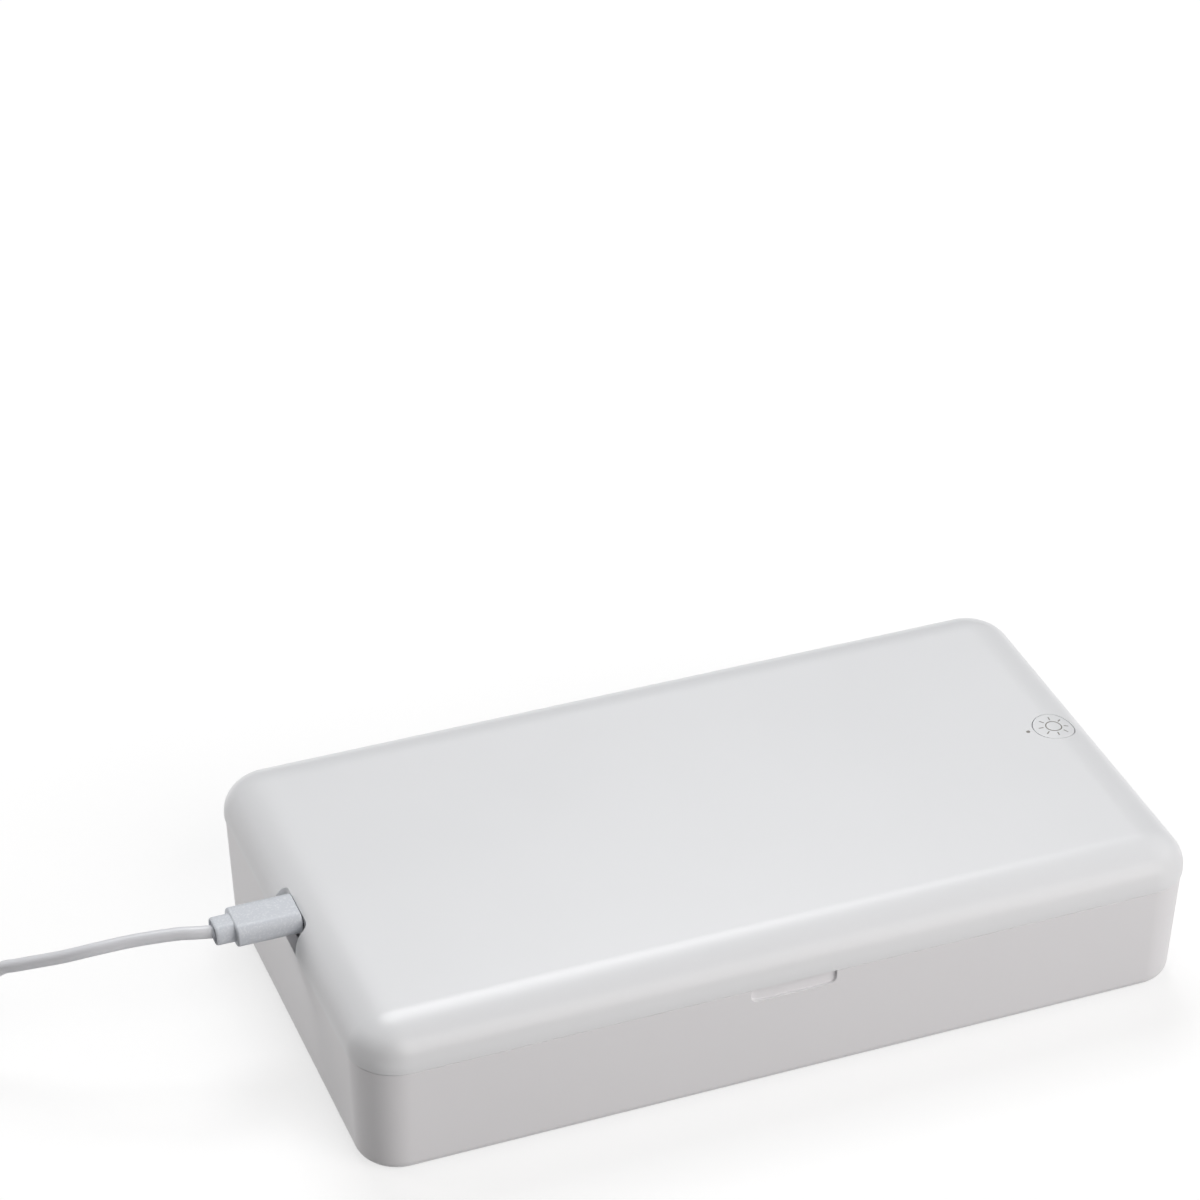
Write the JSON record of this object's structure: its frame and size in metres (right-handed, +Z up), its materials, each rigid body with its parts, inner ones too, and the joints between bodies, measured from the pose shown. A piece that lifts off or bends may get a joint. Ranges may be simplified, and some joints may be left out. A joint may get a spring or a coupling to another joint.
{
  "type": "uv sanitizer box for phones",
  "caption": "Rounded desktop box: a deep tray and a lift-off domed lid with ultraviolet lamps, a push button and a charging port, its cable plugged in.",
  "frame": {"origin": "centre of the box's footprint, on the surface that its foot pads stand on (the cable is not counted)", "axes": "+X along the box from the charging port to the push button, +Y to the back, +Z up"},
  "size_m": [0.3071, 0.1731, 0.0367],
  "materials": {
    "tray_plastic": "satin",
    "foot_rubber": "matte",
    "lid_plastic": "satin",
    "cover_plastic": "gloss",
    "white_board": "matte",
    "green_board": "satin",
    "gold_lamp": "satin",
    "quartz": "clear",
    "white_lamp": "matte",
    "screw_steel": "satin",
    "black_chip": "matte",
    "tan_chip": "matte",
    "port_steel": "satin",
    "black_plastic": "matte",
    "white_plastic": "matte",
    "clear_plastic": "clear",
    "red_wire": "satin",
    "black_wire": "satin",
    "plug_plastic": "satin",
    "plug_steel": "polished",
    "cord_jacket": "satin",
    "tie_fabric": "woven"
  },
  "bodies": {
    "base": {"base_tray": "tray_plastic", "foot_pads": "foot_rubber", "cord_coil": "cord_jacket", "cord_tail": "cord_jacket", "coil_tie": "tie_fabric", "far_moulding": "plug_plastic", "far_shell": "plug_steel", "far_tongue": "white_plastic"},
    "lid": {"lid_shell": "lid_plastic", "inner_cover": "cover_plastic", "lamp_board": "white_board", "uvc_lamps": "gold_lamp", "uvc_lenses": "quartz", "uva_lamps": "white_lamp", "main_board": "green_board", "board_screws": "screw_steel", "controller_chip": "black_chip", "power_inductor": "black_chip", "board_capacitors": "tan_chip", "lamp_driver": "black_chip", "port_shell": "port_steel", "port_tongue": "black_plastic", "switch_body": "black_plastic", "button_board": "green_board", "tact_switch": "port_steel", "tact_actuator": "black_plastic", "indicator_lamp": "white_lamp", "light_pipe": "clear_plastic", "wire_red": "red_wire", "wire_black": "black_wire"},
    "button": {"button_cap": "lid_plastic"},
    "plunger": {"switch_plunger": "port_steel"},
    "cable": {"plug_moulding": "plug_plastic", "plug_shell": "plug_steel", "plug_collar": "plug_plastic", "cord_tube": "cord_jacket"}
  },
  "joints": [
    {"name": "lid_lift", "type": "slide", "parent": "base", "child": "lid", "axis": [0, 0, 1], "range_m": [0, 0.08]},
    {"name": "button_press", "type": "slide", "parent": "lid", "child": "button", "axis": [0, 0, -1], "range_m": [0, 0.0005], "stiffness_N_per_m": 3000},
    {"name": "switch_press", "type": "slide", "parent": "lid", "child": "plunger", "axis": [0, 0, 1], "range_m": [0, 0.0008], "stiffness_N_per_m": 500},
    {"name": "plug_pull", "type": "slide", "parent": "lid", "child": "cable", "axis": [-1, 0, 0], "range_m": [0, 0.0065]}
  ]
}
